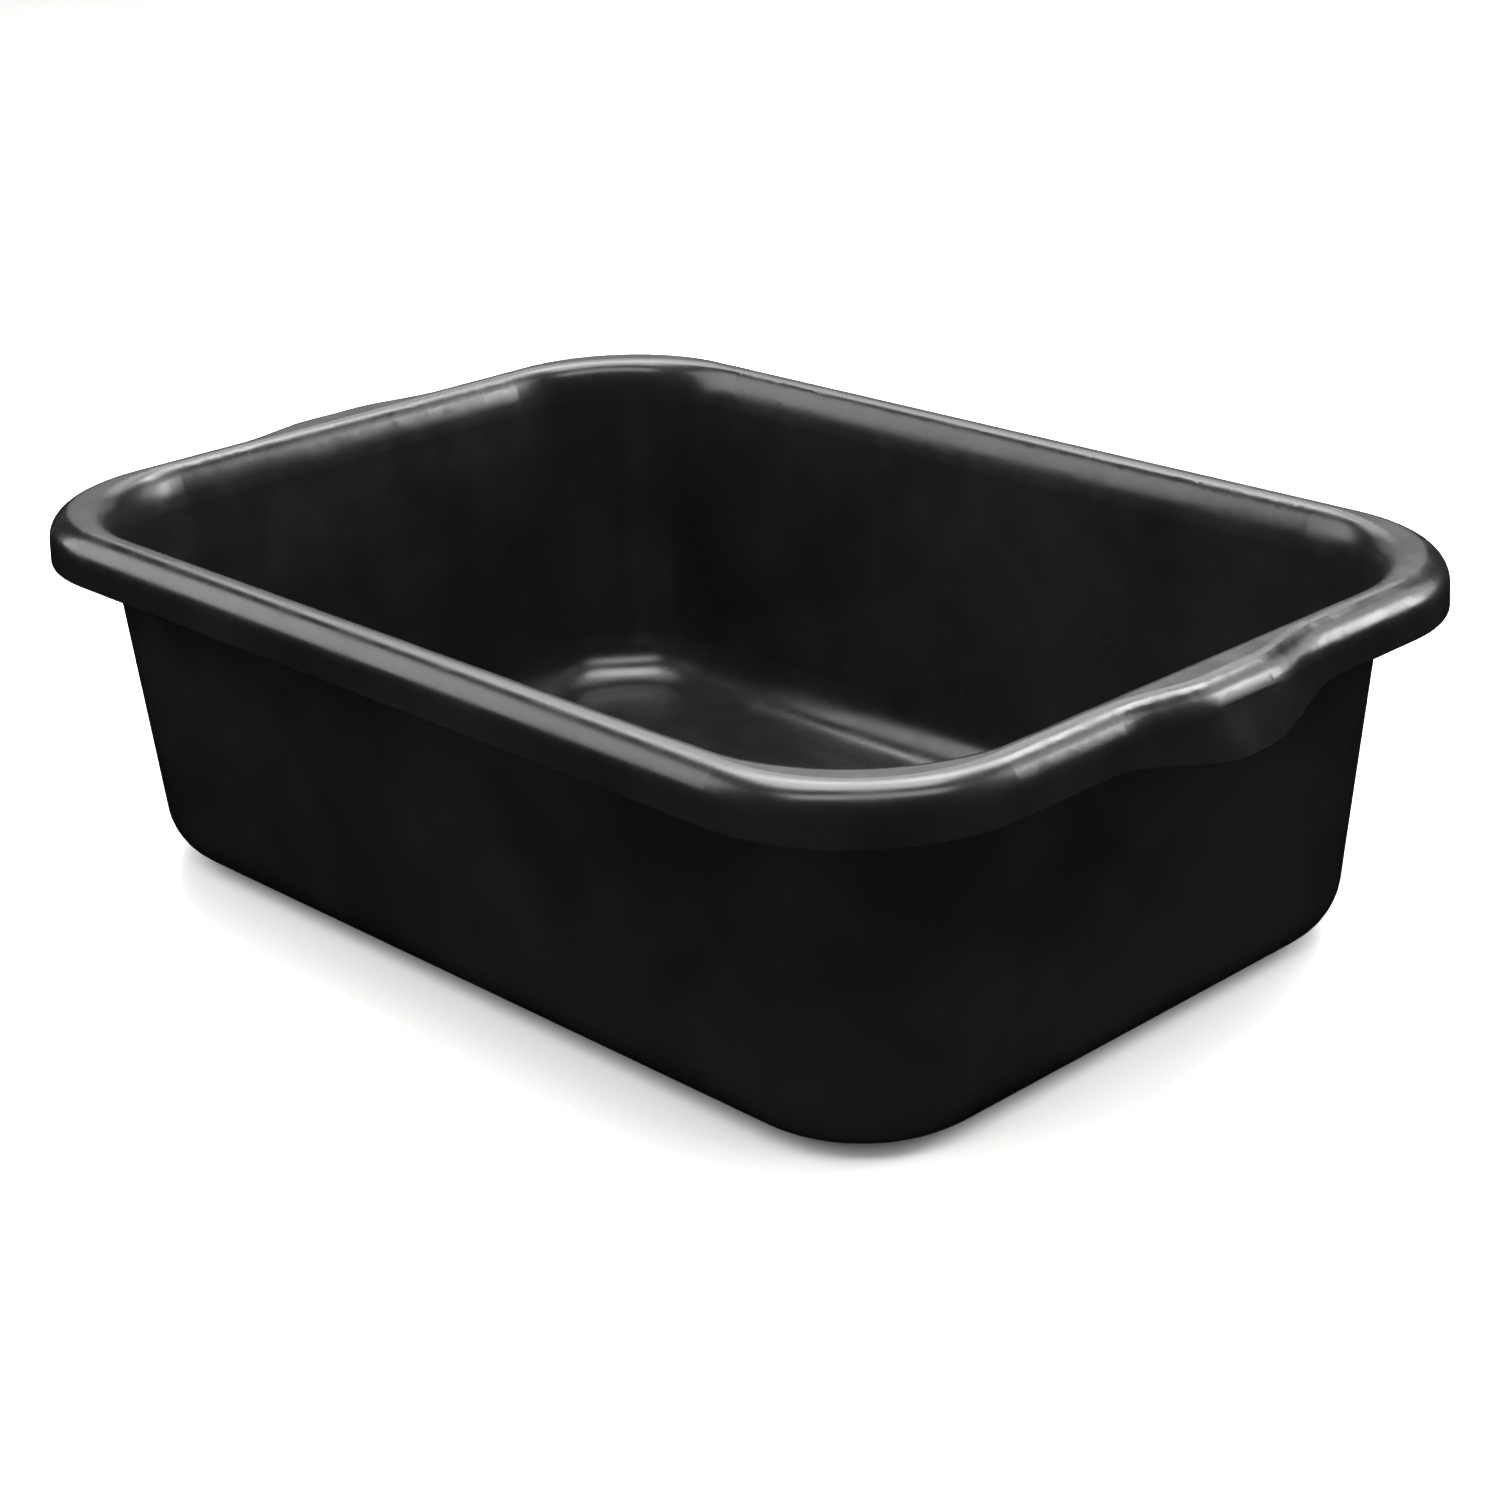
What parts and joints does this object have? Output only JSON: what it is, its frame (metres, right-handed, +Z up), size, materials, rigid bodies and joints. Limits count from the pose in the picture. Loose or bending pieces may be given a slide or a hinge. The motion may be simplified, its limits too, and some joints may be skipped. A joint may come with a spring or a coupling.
{
  "type": "mortar mixing tub",
  "caption": "Rectangular moulded plastic mixing tub with drafted walls, a rolled rim with a turned-down skirt, and a swelling hand grip at each short end.",
  "frame": {"origin": "centre of the footprint, on the surface that the tub stands on", "axes": "+X along the tub through its two end grips, +Y across it, +Z up out of the mouth"},
  "size_m": [0.6166, 0.4202, 0.18],
  "materials": {
    "black_polyethylene": "satin, as injection moulded"
  },
  "bodies": {
    "root": {"tub_shell": "black_polyethylene"}
  },
  "joints": []
}
